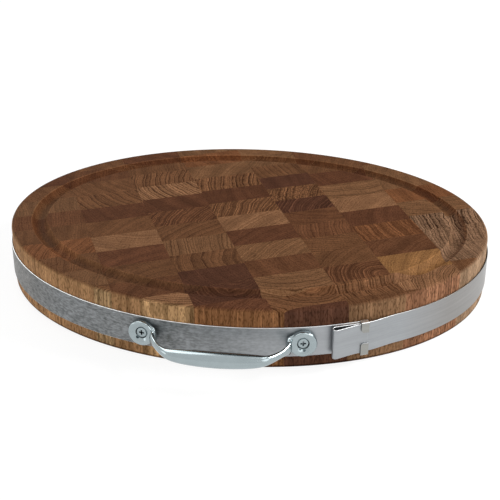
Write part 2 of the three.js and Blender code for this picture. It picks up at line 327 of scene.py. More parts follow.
def makeWoodMaterial():
    # oiled hardwood, sanded: dark matt end grain with growth rings on top,
    # golden flecked long grain on the rim
    material, tree = newMaterial("oiledHardwood")
    place = addNode(tree, "TexCoord").outputs["Object"]
    pith = addNode(tree, "Attribute", {"attribute_name": "pith"}).outputs["Vector"]
    tone = addNode(tree, "Attribute", {"attribute_name": "tone"}).outputs["Color"]
    sideTone = addNode(tree, "Attribute", {"attribute_name": "sideTone"}).outputs["Color"]
    rings = addNode(tree, "Attribute", {"attribute_name": "rings"}).outputs["Vector"]
    ringParts = addNode(tree, "SeparateXYZ", inputs={"Vector": rings})  # pitch, strength, speckle

    # distance from the pith's axis, bent a little, in rings
    away = addNode(tree, "VectorMath", {"operation": "SUBTRACT"}, {0: place, 1: pith})
    flat = addNode(tree, "VectorMath", {"operation": "MULTIPLY"}, {0: away, 1: (1, 1, 0.02)})
    reach = addNode(tree, "VectorMath", {"operation": "LENGTH"}, {0: flat})
    own = addNode(tree, "VectorMath", {"operation": "MULTIPLY_ADD"}, {0: pith, 1: (3, 3, 3), 2: place})
    ownFlat = addNode(tree, "Mapping", inputs={"Vector": own, "Scale": (1, 1, 0.15)})
    warp = addNode(tree, "TexNoise", inputs={  # 15 mm waves
        "Vector": ownFlat, "Scale": 65.0, "Detail": 2.0, "Roughness": 0.5})
    ripple = addNode(tree, "TexNoise", inputs={  # 4 mm ripples
        "Vector": ownFlat, "Scale": 250.0, "Detail": 2.0})
    waved = addNode(tree, "Math", {"operation": "MULTIPLY_ADD"}, {
        0: warp, 1: 4.5 * mm, 2: reach.outputs["Value"]})
    bend = addNode(tree, "Math", {"operation": "MULTIPLY_ADD"}, {0: ripple, 1: 1.6 * mm, 2: waved})
    turns = addNode(tree, "Math", {"operation": "DIVIDE"}, {0: bend, 1: ringParts.outputs["X"]})
    uneven = addNode(tree, "TexNoise", {"noise_dimensions": "1D"}, {  # wide and narrow years
        "W": turns, "Scale": 0.6, "Detail": 1.0})
    phase = addNode(tree, "Math", {"operation": "MULTIPLY_ADD"}, {0: uneven, 1: 1.6, 2: turns})
    part = addNode(tree, "Math", {"operation": "FRACT"}, {0: phase})
    late = addNode(tree, "ValToRGB", inputs={"Fac": part})  # darkens slowly, ends sharply
    setRamp(late, [(0.0, grey(0.0)), (0.3, grey(0.06)), (0.6, grey(0.34)), (0.8, grey(0.95)),
                   (0.92, grey(1.0)), (1.0, grey(0.0))])
    patchy = addNode(tree, "MapRange", inputs={
        "Value": ripple, "From Min": 0.3, "From Max": 0.6, "To Min": 0.55, "To Max": 1.0})
    lateHere = addNode(tree, "Math", {"operation": "MULTIPLY"}, {0: late, 1: patchy})
    ringDepth = addNode(tree, "Math", {"operation": "MULTIPLY_ADD"}, {0: lateHere, 1: -1.1, 2: 0.35})
    ringShade = addNode(tree, "Math", {"operation": "MULTIPLY_ADD"}, {
        0: ringDepth, 1: ringParts.outputs["Y"], 2: 1.0})

    # fine lines that follow the rings, 0.7 mm apart, and broad bands of 9 mm
    fine = addNode(tree, "TexNoise", {"noise_dimensions": "1D"}, {
        "W": bend, "Scale": 1500.0, "Detail": 1.0})
    fineDepth = addNode(tree, "MapRange", inputs={
        "Value": fine, "From Min": 0.3, "From Max": 0.7, "To Min": -0.36, "To Max": 0.36})
    clear = addNode(tree, "Math", {"operation": "ABSOLUTE"}, {0: ringParts.outputs["Y"]})
    fineShare = addNode(tree, "Math", {"operation": "MULTIPLY_ADD"}, {  # plain blocks look smoother
        0: clear, 1: 0.8, 2: 0.35})
    fineShade = addNode(tree, "Math", {"operation": "MULTIPLY_ADD"}, {0: fineDepth, 1: fineShare, 2: 1.0})
    bands = addNode(tree, "TexNoise", {"noise_dimensions": "1D"}, {
        "W": bend, "Scale": 110.0, "Detail": 1.0})
    bandShade = addNode(tree, "MapRange", inputs={
        "Value": bands, "From Min": 0.3, "From Max": 0.7, "To Min": 0.84, "To Max": 1.16})

    # rays: pale lines running out from the pith, 0.7 mm apart at 80 mm from it
    awayParts = addNode(tree, "SeparateXYZ", inputs={"Vector": away})
    bearing = addNode(tree, "Math", {"operation": "ARCTAN2"}, {
        0: awayParts.outputs["Y"], 1: awayParts.outputs["X"]})
    rays = addNode(tree, "TexNoise", {"noise_dimensions": "1D"}, {
        "W": bearing, "Scale": 115.0, "Detail": 1.0})
    rayShade = addNode(tree, "MapRange", inputs={
        "Value": rays, "From Min": 0.4, "From Max": 0.72, "To Min": 0.96, "To Max": 1.16})

    # pores: specks on the end grain, drawn 0.9 mm wide because the real 0.3 mm wouldn't show
    poreScale = addNode(tree, "Mapping", inputs={"Vector": place, "Scale": (1, 1, 0.16)})
    pores = addNode(tree, "TexNoise", inputs={"Vector": poreScale, "Scale": 1100.0, "Detail": 1.0})
    poreMask = addNode(tree, "MapRange", inputs={
        "Value": pores, "From Min": 0.36, "From Max": 0.48, "To Min": 1.0, "To Max": 0.0})
    poreShade = addNode(tree, "Math", {"operation": "MULTIPLY_ADD"}, {0: poreMask, 1: -0.44, 2: 1.05})
    specks = addNode(tree, "TexNoise", inputs={  # 1.2 mm flecks on the rings
        "Vector": poreScale, "Scale": 800.0, "Detail": 2.0})
    speckMask = addNode(tree, "MapRange", inputs={
        "Value": specks, "From Min": 0.42, "From Max": 0.62, "To Min": -0.6, "To Max": 0.85})
    speckShade = addNode(tree, "Math", {"operation": "MULTIPLY_ADD"}, {
        0: speckMask, 1: ringParts.outputs["Z"], 2: 1.0})
    mottle = addNode(tree, "TexNoise", inputs={  # 11 mm clouds
        "Vector": ownFlat, "Scale": 90.0, "Detail": 3.0})
    mottleShade = addNode(tree, "MapRange", inputs={
        "Value": mottle, "From Min": 0.3, "From Max": 0.7, "To Min": 0.86, "To Max": 1.14})

    # long grain on the rim: dashes 0.8 mm wide, drawn coarser than the real pores, and 4 mm streaks
    normal = addNode(tree, "NewGeometry").outputs["Normal"]
    normalParts = addNode(tree, "SeparateXYZ", inputs={"Vector": normal})
    steep = addNode(tree, "Math", {"operation": "ABSOLUTE"}, {0: normalParts.outputs["Z"]})
    side = addNode(tree, "MapRange", inputs={
        "Value": steep, "From Min": 0.2, "From Max": 0.92, "To Min": 1.0, "To Max": 0.0})
    dashScale = addNode(tree, "Mapping", inputs={"Vector": place, "Scale": (1, 1, 0.28)})
    dashes = addNode(tree, "TexNoise", inputs={"Vector": dashScale, "Scale": 1250.0, "Detail": 1.0})
    dashMask = addNode(tree, "MapRange", inputs={
        "Value": dashes, "From Min": 0.36, "From Max": 0.5, "To Min": 0.55, "To Max": 1.08})
    streakScale = addNode(tree, "Mapping", inputs={"Vector": place, "Scale": (1, 1, 0.03)})
    streaks = addNode(tree, "TexNoise", inputs={"Vector": streakScale, "Scale": 260.0, "Detail": 3.0})
    streakShade = addNode(tree, "MapRange", inputs={
        "Value": streaks, "From Min": 0.3, "From Max": 0.7, "To Min": 0.74, "To Max": 1.24})
    dashed = addNode(tree, "Math", {"operation": "MULTIPLY"}, {0: dashMask, 1: streakShade})
    bodyTone = addNode(tree, "Mix", {"data_type": "RGBA"}, {"Factor": side, 6: tone, 7: sideTone})
    poreOrDash = addNode(tree, "Mix", {"data_type": "FLOAT"}, {"Factor": side, 2: poreShade, 3: dashed})

    shade = ringShade
    for other in (fineShade, bandShade, rayShade, poreOrDash, speckShade, mottleShade):
        shade = addNode(tree, "Math", {"operation": "MULTIPLY"}, {0: shade, 1: other})
    warm = addNode(tree, "VectorMath", {"operation": "MULTIPLY_ADD"}, {  # dark lines are redder
        0: shade, 1: (0.92, 1.0, 1.1), 2: (0.05, 0.0, -0.05)})
    colour = addNode(tree, "VectorMath", {"operation": "MULTIPLY"}, {0: bodyTone.outputs[2], 1: warm})

    relief = addNode(tree, "Math", {"operation": "MULTIPLY_ADD"}, {0: poreMask, 1: -0.8, 2: lateHere})
    bump = addNode(tree, "Bump", inputs={"Strength": 0.3, "Distance": 0.1 * mm, "Height": relief})
    shader = addNode(tree, "BsdfPrincipled", inputs={
        "Base Color": colour, "Roughness": 0.62, "Normal": bump, "IOR": 1.45, "Specular IOR Level": 0.04})
    addNode(tree, "OutputMaterial", inputs={"Surface": shader})
    return material


def makeSlab():
    bm = bmesh.new()
    bmesh.ops.create_circle(bm, cap_ends=True, segments=board["rimSteps"], radius=1.0)
    bmesh.ops.scale(bm, vec=(board["halfLong"], board["halfWide"], 1), verts=bm.verts)
    raised = bmesh.ops.extrude_face_region(bm, geom=bm.faces[:], use_keep_orig=True)["geom"]
    bmesh.ops.translate(bm, vec=(0, 0, board["thickness"]), verts=onlyVerts(raised))
    faceOut(bm)
    rimEdges = [e for e in bm.edges if rise(e) < samePlace]
    roundOff(bm, rimEdges, board["edgeRadius"], board["edgeSteps"])
    top = max(bm.faces, key=lambda f: f.calc_center_median().z)
    bmesh.ops.inset_individual(bm, faces=[top], thickness=board["grooveInset"] - board["edgeRadius"],
                               use_even_offset=True)
    lips = top.edges[:]
    # round-bottomed groove, sunk ring by ring
    half, depth = board["grooveWidth"] / 2, board["grooveDepth"]
    radius = (half * half + depth * depth) / (2 * depth)
    spread = math.asin(half / radius)
    last = (-half, 0.0)
    for i in range(1, board["coveSteps"] + 1):
        a = -spread + 2 * spread * i / board["coveSteps"]
        here = (radius * math.sin(a), radius - depth - radius * math.cos(a))
        bmesh.ops.inset_individual(bm, faces=[top], thickness=here[0] - last[0], depth=here[1] - last[1],
                                   use_even_offset=True)
        last = here
    roundOff(bm, lips + top.edges[:], board["lipRadius"], board["lipSteps"])
    return bm


def sliceAt(bm, place, normal, clear=False):
    return bmesh.ops.bisect_plane(bm, geom=bm.verts[:] + bm.edges[:] + bm.faces[:], dist=samePlace / 10,
                                  plane_co=place, plane_no=normal, clear_outer=clear)["geom_cut"]


def cutAt(bm, place, awaySide):  # keeps the part behind the plane and closes the cut
    edges = onlyEdges(sliceAt(bm, place, awaySide, clear=True))
    if edges:
        bmesh.ops.contextual_create(bm, geom=edges)


def kindOf(label, table, usual):
    for name, labels in table.items():
        if label in labels.split():
            return name
    return usual


def addBlock(bm, label, centre, draw):  # block's own tones, pith and rings, kept on its faces
    layers = bm.faces.layers
    toneLayer, sideLayer = (layers.float_color.new(name) for name in ("tone", "sideTone"))
    pithLayer, ringLayer = (layers.float_vector.new(name) for name in ("pith", "rings"))
    kind = kindOf(label, wood["standOut"], draw.choice(wood["usual"]))
    shade = draw.uniform(*wood["shadeSpread"])
    tone = [c * shade for c in hexColour(wood["tones"][kind])[:3]]
    sideKind = kindOf(label, wood["sideOf"], "amber")
    sideTone = [c * shade for c in hexColour(wood["sideTones"][sideKind])[:3]]
    usual = wood["plainRings"]
    plain = (draw.gauss(*usual["turn"]), draw.uniform(*usual["reach"]),
             draw.uniform(*usual["pitch"]), draw.uniform(*usual["strength"]))
    angle, reach, pitch, strength = wood["rings"].get(label, plain)
    angle = math.radians(angle) + blocks["turn"]
    pith = centre + Vector((math.cos(angle), math.sin(angle), 0)) * reach * mm
    speckle = wood["speckled"].get(label, wood["plainSpeckle"])
    share = wood["grooveShare"]
    grooveTone = [a * (1 - share) + b * share for a, b in zip(tone, sideTone)]
    long, wide = board["halfLong"], board["halfWide"]
    grooveFloor = board["thickness"] - board["grooveDepth"]
    bm.normal_update()
    for face in bm.faces:
        middle = face.calc_center_median()
        inside = math.hypot(middle.x / long, middle.y / wide) < wood["topShare"]
        sunk = grooveFloor - slack < middle.z < board["thickness"] - slack
        inGroove = inside and sunk and face.normal.z > wood["wallRise"]
        # painted light and shade kept on the faces: a painted highlight on the groove's lips, painted
        # shade on its outer wall, painted light on its inner wall
        paintedLight = (1, 1, 1)
        if inGroove and middle.z > board["thickness"] - board["lipRadius"]:
            paintedLight = wood["groove"]["lip"]
        elif inGroove:
            out = Vector((middle.x / long ** 2, middle.y / wide ** 2, 0)).normalized()
            lean = face.normal.dot(out)  # below zero on the outer wall
            wall = wood["groove"]["innerWallLight" if lean > 0 else "outerWallShade"]
            paintedLight = [1 + abs(lean) * (c - 1) for c in wall]
        # painted contact shadow on the rounded bottom edge
        elif middle.z < board["edgeRadius"] and face.normal.z > wood["footFall"]:
            paintedLight = wood["footShadow"]
        steepTone = grooveTone if inGroove else sideTone
        face[toneLayer] = (*(c * w for c, w in zip(tone, paintedLight)), 1.0)
        face[sideLayer] = (*(c * w for c, w in zip(steepTone, paintedLight)), 1.0)
        face[pithLayer] = pith
        face[ringLayer] = (pitch * mm, strength, speckle)


def seamAt(stick, i, span):
    shift = blocks["seamShifts"].get(stick["name"] + str(i), 0)
    return (stick["seam"] + i * stick["pitch"]) * span + shift


def makeBoard(material):
    c, s = math.cos(blocks["turn"]), math.sin(blocks["turn"])
    across, along = Vector((c, s, 0)), Vector((-s, c, 0))
    acrossSpan = 2 * math.hypot(board["halfLong"] * c, board["halfWide"] * s)
    alongSpan = 2 * math.hypot(board["halfLong"] * s, board["halfWide"] * c)
    slabMesh = toMesh(makeSlab(), "slab")
    gap, short = wood["seamGap"] / 2, blocks["shortEnd"]
    draw = random.Random(wood["seed"])
    sticks = blocks["sticks"]
    low = (blocks["firstSeam"] - sticks[0]["width"]) * acrossSpan
    count = 0
    for stick in sticks:
        high = low + stick["width"] * acrossSpan
        strip = bmesh.new()
        strip.from_mesh(slabMesh)
        if stick is not sticks[0]:
            cutAt(strip, across * (low + gap), -across)
        if stick is not sticks[-1]:
            cutAt(strip, across * (high - gap), across)
        stripMesh = toMesh(strip, "strip")
        reachAlong = [v.co.dot(along) for v in stripMesh.vertices]
        lowest, highest = min(reachAlong), max(reachAlong)
        lastNode = stick["last"] - stick["first"] + 2
        pieces = {number: bmesh.new() for number in range(1, lastNode + 1)}
        for k in range(-blocks["mostSteps"], blocks["mostSteps"]):
            near, far = (seamAt(stick, i, alongSpan) for i in (k, k + 1))
            if far < lowest + short or near > highest - short:
                continue
            block = bmesh.new()
            block.from_mesh(stripMesh)
            if near > lowest + short:
                cutAt(block, along * (near + gap), -along)
            if far < highest - short:
                cutAt(block, along * (far - gap), along)
            middle = across * ((low + high) / 2) + along * ((near + far) / 2)
            addBlock(block, stick["name"] + str(k), middle, draw)
            blockMesh = toMesh(block, "block")
            number = min(max(k - stick["first"] + 2, 1), lastNode)
            pieces[number].from_mesh(blockMesh)
            bpy.data.meshes.remove(blockMesh)
            count += 1
        for number, bm in pieces.items():
            node = "block_" + stick["name"] + str(number).zfill(2)
            finishPiece(bm, node + "_wood", material, [node], wood["crease"])
        bpy.data.meshes.remove(stripMesh)
        low = high
    bpy.data.meshes.remove(slabMesh)
    print("board made:", count, "blocks")


makeBoard(makeWoodMaterial())


# strap and buckle

strap = {
    "width": 20 * mm,
    "thickness": 0.7 * mm,
    "bottom": 9 * mm,
    "gap": 0.3 * mm,  # clearance to each neighbour
    "foldRadius": 2 * mm,
    "stubEnd": 9.2 * mm,  # end of the folded stub, from the buckle's middle
    "lapShort": 1 * mm,  # play at the buckle's ends
    "rampLength": 13 * mm,
    "rampRound": 6 * mm,
    "lapRound": 4 * mm,
    "foldShare": 0.98,  # the fold's two corners are rounded until they nearly meet
    "bendSteps": 8,
    "openDepth": 20 * mm,  # the ring is opened only this near the buckle
    "edgeRound": 0.33 * mm,
    "edgeSteps": 3,
    "crease": 40,
    "steel": "#a4a7aa",
    "smudge": "#5a5c5b",
    "dull": "#999795",
    # the sheared edges' painted highlight, then their painted shadow line
    "edgeHighlight": "#f2f4f5",
    "edgeShadowLine": "#66615c",
    "thumbed": (-30 * mm, 60 * mm),  # where the smudges fade out, along x
    "highlightFade": (85 * mm, 120 * mm),  # where the painted edge highlight gives way to the painted shadow line, along x
    "towardEnds": (105 * mm, 135 * mm),  # where the dull ends begin, from the middle
}

buckle = {
    "x": 76 * mm,
    "length": 21 * mm,
    "sheet": 0.8 * mm,
    "lip": 1.3 * mm,  # how far the ears stand past the strap's edges
    "earLength": 4.8 * mm,
    "earHeights": {1: 7 * mm, -1: 8.2 * mm},  # top and bottom
    "earRound": 1.9 * mm,
    "earPast": 0.5 * mm,  # past the stub's end
    "earTips": 4.5 * mm,  # the ears' tips lie this near the strap's middle line
    "earSteps": 5,
    "bendRadius": 0.5 * mm,
    "bendSteps": 4,
    "edgeRound": 0.12 * mm,
    "edgeSteps": 2,
    "steel": "#9d9d99",
    "smudge": "#6c6a64",
    "dull": "#9d9d99",
}

strapMiddle = strap["bottom"] + strap["width"] / 2
overStrap = 2 * strap["gap"] + strap["thickness"]  # where a piece laid on the strap begins


def makeSteelMaterial(name, tones):
    # rolled steel strip: dull, with fine lines along its length, thumbed and smudged,
    # its sheared edges painted bright as a highlight, and dark as a shadow line past the buckle
    material, tree = newMaterial(name)
    place = addNode(tree, "TexCoord").outputs["Object"]
    lineScale = addNode(tree, "Mapping", inputs={"Vector": place, "Scale": (0.02, 0.02, 1)})
    lines = addNode(tree, "TexNoise", inputs={  # 1.1 mm, drawn coarser than real rolling lines
        "Vector": lineScale, "Scale": 900.0, "Detail": 3.0})
    broadScale = addNode(tree, "Mapping", inputs={"Vector": place, "Scale": (0.12, 0.12, 1)})
    broad = addNode(tree, "TexNoise", inputs={  # 6 mm bands
        "Vector": broadScale, "Scale": 160.0, "Detail": 2.0})
    smudges = addNode(tree, "TexNoise", inputs={  # 12 mm thumb marks
        "Vector": place, "Scale": 85.0, "Detail": 6.0, "Roughness": 0.75})
    smudgeAll = addNode(tree, "MapRange", inputs={
        "Value": smudges, "From Min": 0.36, "From Max": 0.68, "To Min": 0.52, "To Max": 0.85})
    speckScale = addNode(tree, "Mapping", inputs={"Vector": place, "Scale": (0.4, 0.4, 1)})
    specks = addNode(tree, "TexNoise", inputs={  # tarnish spots, 1.1 mm high and 2.8 mm long
        "Vector": speckScale, "Scale": 900.0, "Detail": 3.0})
    speckMask = addNode(tree, "MapRange", inputs={
        "Value": specks, "From Min": 0.36, "From Max": 0.66, "To Min": -0.2, "To Max": 0.2})
    tarnish = addNode(tree, "Math", {"operation": "ADD", "use_clamp": True}, {0: smudgeAll, 1: speckMask})
    placeParts = addNode(tree, "SeparateXYZ", inputs={"Vector": place})
    handled = addNode(tree, "MapRange", inputs={  # most thumbed on the left of the handle
        "Value": placeParts.outputs["X"], "From Min": strap["thumbed"][0],
        "From Max": strap["thumbed"][1], "To Min": 1.0, "To Max": 0.08})
    smudgeMask = addNode(tree, "Math", {"operation": "MULTIPLY"}, {0: tarnish, 1: handled})
    fromMiddle = addNode(tree, "Math", {"operation": "ABSOLUTE"}, {0: placeParts.outputs["X"]})
    towardEnds = addNode(tree, "MapRange", inputs={  # duller and greyer towards the board's two ends
        "Value": fromMiddle, "From Min": strap["towardEnds"][0], "From Max": strap["towardEnds"][1]})
    clean = addNode(tree, "Mix", {"data_type": "RGBA"}, {
        "Factor": towardEnds, 6: hexColour(tones["steel"]), 7: hexColour(tones["dull"])})
    face = addNode(tree, "Mix", {"data_type": "RGBA"}, {
        "Factor": smudgeMask, 6: clean.outputs[2], 7: hexColour(tones["smudge"])})
    normal = addNode(tree, "NewGeometry").outputs["Normal"]
    normalParts = addNode(tree, "SeparateXYZ", inputs={"Vector": normal})
    lift = addNode(tree, "Math", {"operation": "ABSOLUTE"}, {0: normalParts.outputs["Z"]})
    edgeAll = addNode(tree, "MapRange", inputs={"Value": lift, "From Min": 0.25, "From Max": 0.6})
    highlightFade = addNode(tree, "MapRange", inputs={  # painted edge highlight, fading out past the buckle
        "Value": placeParts.outputs["X"], "From Min": strap["highlightFade"][0], "From Max": strap["highlightFade"][1],
        "To Min": 1.0, "To Max": 0.0})
    edgeLightTone = addNode(tree, "Mix", {"data_type": "RGBA"}, {
        "Factor": highlightFade, 6: hexColour(strap["edgeShadowLine"]), 7: hexColour(strap["edgeHighlight"])})
    base = addNode(tree, "Mix", {"data_type": "RGBA"}, {  # sheared edges: a painted highlight, or past the buckle a painted shadow line
        "Factor": edgeAll, 6: face.outputs[2], 7: edgeLightTone.outputs[2]})
    lineTone = addNode(tree, "MapRange", inputs={
        "Value": lines, "From Min": 0.3, "From Max": 0.7, "To Min": 0.95, "To Max": 1.04})
    broadTone = addNode(tree, "MapRange", inputs={
        "Value": broad, "From Min": 0.3, "From Max": 0.7, "To Min": 0.95, "To Max": 1.04})
    tone = addNode(tree, "Math", {"operation": "MULTIPLY"}, {0: lineTone, 1: broadTone})
    colour = addNode(tree, "Mix", {"data_type": "RGBA", "blend_type": "MULTIPLY"}, {
        "Factor": 1.0, 6: base.outputs[2], 7: tone})
    rough = addNode(tree, "MapRange", inputs={"Value": smudgeMask, "To Min": 0.38, "To Max": 0.55})
    bump = addNode(tree, "Bump", inputs={"Strength": 0.25, "Distance": 0.03 * mm, "Height": lines})
    shader = addNode(tree, "BsdfPrincipled", inputs={
        "Base Color": colour.outputs[2], "Metallic": 1.0, "Roughness": rough, "Normal": bump})
    addNode(tree, "OutputMaterial", inputs={"Surface": shader})
    return material


def growPath(bm, vert, points):  # draws a wire on from a vertex
    made = []
    for point in points:
        vert = bmesh.ops.extrude_vert_indiv(bm, verts=[vert])["verts"][0]
        vert.co = point
        made.append(vert)
    return made


def makeStrap(material):
    place = rimPlace(buckle["x"])
    inverse = place.inverted()
    lapOut = overStrap + buckle["sheet"] + strap["gap"]
    stubOut = lapOut + 2 * strap["thickness"] + strap["gap"]
    turn = strap["foldRadius"] + strap["thickness"]
    halfPlate = buckle["length"] / 2
    rampEnd = halfPlate + strap["lapShort"]
    lapStart = halfPlate - strap["lapShort"]
    bm = bmesh.new()
    bmesh.ops.create_circle(bm, segments=board["rimSteps"], radius=1.0)
    reach = (board["halfLong"] + strap["gap"], board["halfWide"] + strap["gap"], 1)
    bmesh.ops.scale(bm, vec=reach, verts=bm.verts)
    opened = []
    for vert in bm.verts:
        local = inverse @ vert.co
        if abs(local.y) < strap["openDepth"] and lapStart < local.x < rampEnd + strap["rampLength"]:
            opened.append(vert)
    bmesh.ops.delete(bm, geom=opened, context="VERTS")
    ends = [v for v in bm.verts if len(v.link_edges) == 1]
    rampFoot = max(ends, key=lambda v: (inverse @ v.co).x)
    stubStart = strap["stubEnd"] - buckle["earLength"] - strap["lapShort"]
    corners = [(rampEnd, lapOut), (-halfPlate - turn, lapOut), (-halfPlate - turn, lapOut + 2 * turn),
               (stubStart, stubOut), (strap["stubEnd"], stubOut)]
    made = growPath(bm, rampFoot, [place @ Vector((t, d, 0)) for t, d in corners])
    bends = [rampFoot] + made[:-1]
    fold = turn * strap["foldShare"]
    roundings = [strap["rampRound"], strap["lapRound"], fold, fold, strap["lapRound"]]
    raised = bmesh.ops.extrude_edge_only(bm, edges=bm.edges[:])["geom"]
    bmesh.ops.translate(bm, vec=(0, 0, strap["width"]), verts=onlyVerts(raised))
    bmesh.ops.translate(bm, vec=(0, 0, strap["bottom"]), verts=bm.verts)
    for vert, size in zip(bends, roundings):
        upright = [e for e in vert.link_edges if rise(e) > strap["width"] / 2]
        roundOff(bm, upright, size, strap["bendSteps"])
    faceOut(bm)
    # the wall must grow away from the wood
    ringFace = max(bm.faces, key=lambda f: f.calc_center_median().y)
    if ringFace.normal.y < 0:
        bmesh.ops.reverse_faces(bm, faces=bm.faces)
    thicken(bm, strap["thickness"], strap["edgeRound"], strap["edgeSteps"])
    finishPiece(bm, "edge_strap_steel", material, ["edge_strap"], strap["crease"])


def makeBuckle(material):
    place = rimPlace(buckle["x"])
    stubFront = overStrap + buckle["sheet"] + 2 * strap["gap"] + 2 * strap["thickness"]
    height = strap["width"]
    earTo = strap["stubEnd"] + buckle["earPast"]
    earFrom = earTo - buckle["earLength"]
    reach = stubFront + strap["gap"] - overStrap + buckle["sheet"]
    bm = bmesh.new()
    bmesh.ops.create_grid(bm, x_segments=1, y_segments=1, size=0.5)
    bmesh.ops.scale(bm, vec=(buckle["length"], height, 1), verts=bm.verts)
    bmesh.ops.rotate(bm, matrix=Matrix.Rotation(math.radians(90), 3, "X"), verts=bm.verts)
    for t in (earFrom, earTo):
        sliceAt(bm, (t, 0, 0), (1, 0, 0))
    bendEdges = []
    for sign in (1, -1):
        root = []
        for edge in bm.edges:
            onEdge = all(abs(v.co.z - sign * height / 2) < samePlace for v in edge.verts)
            if onEdge and all(earFrom - samePlace < v.co.x < earTo + samePlace for v in edge.verts):
                root.append(edge)
        steps = ((0, 0, sign * buckle["lip"]), (0, reach, 0), (0, 0, -sign * buckle["earHeights"][sign]))
        for step in steps:
            grown = bmesh.ops.extrude_edge_only(bm, edges=root)["geom"]
            bmesh.ops.translate(bm, vec=step, verts=onlyVerts(grown))
            if step != steps[0]:
                bendEdges += root
            root = onlyEdges(grown)
    roundOff(bm, bendEdges, buckle["bendRadius"], buckle["bendSteps"])
    tips = [v for v in bm.verts if v.co.y > reach - samePlace and abs(v.co.z) < buckle["earTips"]]
    corners = [v for v in tips if v.co.x < earFrom + samePlace]
    roundOff(bm, corners, buckle["earRound"], buckle["earSteps"], "VERTICES")
    faceOut(bm)
    plate = max(bm.faces, key=lambda f: f.calc_area())
    if plate.normal.y < 0:
        bmesh.ops.reverse_faces(bm, faces=bm.faces)
    thicken(bm, buckle["sheet"], buckle["edgeRound"], buckle["edgeSteps"])
    bmesh.ops.translate(bm, vec=(0, overStrap, strapMiddle), verts=bm.verts)
    putAt(bm, place)
    finishPiece(bm, "strap_buckle_steel", material, ["strap_buckle"], strap["crease"])


makeStrap(makeSteelMaterial("rolledSteel", strap))
makeBuckle(makeSteelMaterial("agedSteel", buckle))
print("strap and buckle made")


# handle and screws

handle = {
    "holeSpacing": 96 * mm,
    "padDiameter": 16.6 * mm,
    "padThickness": 3.6 * mm,
    "padRound": 1.1 * mm,
    "padRoundSteps": 5,
    "padBackEase": 0.4 * mm,
    "padDish": 1.7 * mm,
    "dishSteps": 6,
    "dishPower": 1.5,  # the dish deepens towards the screw
    "padSteps": 64,
    "gripReach": 21 * mm,
    "gripHeight": 10.1 * mm,
    "gripThickness": 9.4 * mm,
    "rootHeight": 12.7 * mm,
    "neckHeight": 4.4 * mm,
    "neckThickness": 3 * mm,
    "gripSpan": 63 * mm,
    "kneeLift": 1.0 * mm,
    "gripLift": 0.6 * mm,
    "gripBow": 1.3 * mm,
    "root": (0.34, 0.5),  # start of the bar: shares of the pad's width and thickness
    "edge": (0.54, 0.75),
    "neck": (0.57, 0.35),  # shares of the pad's width and the grip's reach
    "kneeBack": 0.135,  # share of the grip's reach
    "shoulder": 0.71,  # share of the grip's half span
    "swellFrom": 0.2,  # the grip's swelling, in shares of the bar's length
    "swellSpan": 0.6,
    "swellPower": 2.4,
    "rootLength": 0.24,
    "rootPower": 0.6,
    "barSteps": 28,
    "curvePoints": 9,
    "pits": {  # small casting flaws under the screws, along the rim, up and radius
        -1: ((-2.3 * mm, -3.1 * mm, 1.15 * mm),),
        1: ((-1.9 * mm, -3.4 * mm, 0.8 * mm), (0.6 * mm, -4.2 * mm, 0.95 * mm)),
    },
    "pitShape": ((0, -2.6), (0.8, -2.4), (1, 1), (0, 1)),  # in radii
    "pitSteps": 12,
    "crease": 38,
    "zinc": "#9faaad",
}

screw = {
    "diameter": 3.6 * mm,
    "head": 6.4 * mm,
    "headSunk": 1.9 * mm,
    "holeGap": 0.24 * mm,
    "length": 24 * mm,
    "crossWidth": 1.3 * mm,
    "crossSpan": 4.3 * mm,
    "crossDepth": 2.6 * mm,
    "crossTaper": 0.6,  # the recess narrows towards its floor
    "headRim": 0.4 * mm,
    "rimEase": (0.25 * mm, 0.2 * mm),  # in from the rim, and down from the face
    "crown": 0.12 * mm,
    "holeFlare": 0.2 * mm,
    "holeTop": 1.4 * mm,  # the hole's cutter ends this far in front of the pad
    "steps": 48,
    "crease": 35,
}

padFront = overStrap + handle["padThickness"]


def makeZincMaterial():
    # bright zinc plate over a casting: bluish white, satin, faintly cloudy in 7 mm patches
    material, tree = newMaterial("zincPlate")
    place = addNode(tree, "TexCoord").outputs["Object"]
    clouds = addNode(tree, "TexNoise", inputs={"Vector": place, "Scale": 140.0, "Detail": 4.0})
    tone = addNode(tree, "MapRange", inputs={
        "Value": clouds, "From Min": 0.3, "From Max": 0.7, "To Min": 0.95, "To Max": 1.03})
    colour = addNode(tree, "Mix", {"data_type": "RGBA", "blend_type": "MULTIPLY"}, {
        "Factor": 1.0, 6: hexColour(handle["zinc"]), 7: tone})
    rough = addNode(tree, "MapRange", inputs={
        "Value": clouds, "From Min": 0.3, "From Max": 0.7, "To Min": 0.16, "To Max": 0.24})
    grain = addNode(tree, "TexNoise", inputs={  # 0.7 mm, drawn coarser than the casting's skin
        "Vector": place, "Scale": 1400.0, "Detail": 2.0})
    bump = addNode(tree, "Bump", inputs={"Strength": 0.05, "Distance": 0.02 * mm, "Height": grain})
    shader = addNode(tree, "BsdfPrincipled", inputs={
        "Base Color": colour.outputs[2], "Metallic": 1.0, "Roughness": rough, "Normal": bump})
    addNode(tree, "OutputMaterial", inputs={"Surface": shader})
    return material


def spinProfile(points, steps):  # points are (radius, height), from the Y axis out and back to it
    bm = bmesh.new()
    first = bm.verts.new((points[0][0], points[0][1], 0))
    verts = [first] + growPath(bm, first, [Vector((r, h, 0)) for r, h in points[1:]])
    bmesh.ops.spin(bm, geom=verts + bm.edges[:], cent=(0, 0, 0), axis=(0, 1, 0), angle=2 * math.pi,
                   steps=steps, use_merge=True, use_duplicate=False)
    bmesh.ops.remove_doubles(bm, verts=bm.verts, dist=samePlace)
    faceOut(bm)
    return bm


def facing(x, reach):  # turns the Y axis of a spun shape to the rim's outward normal
    return rimPlace(x) @ Matrix.Translation((0, reach, strapMiddle))


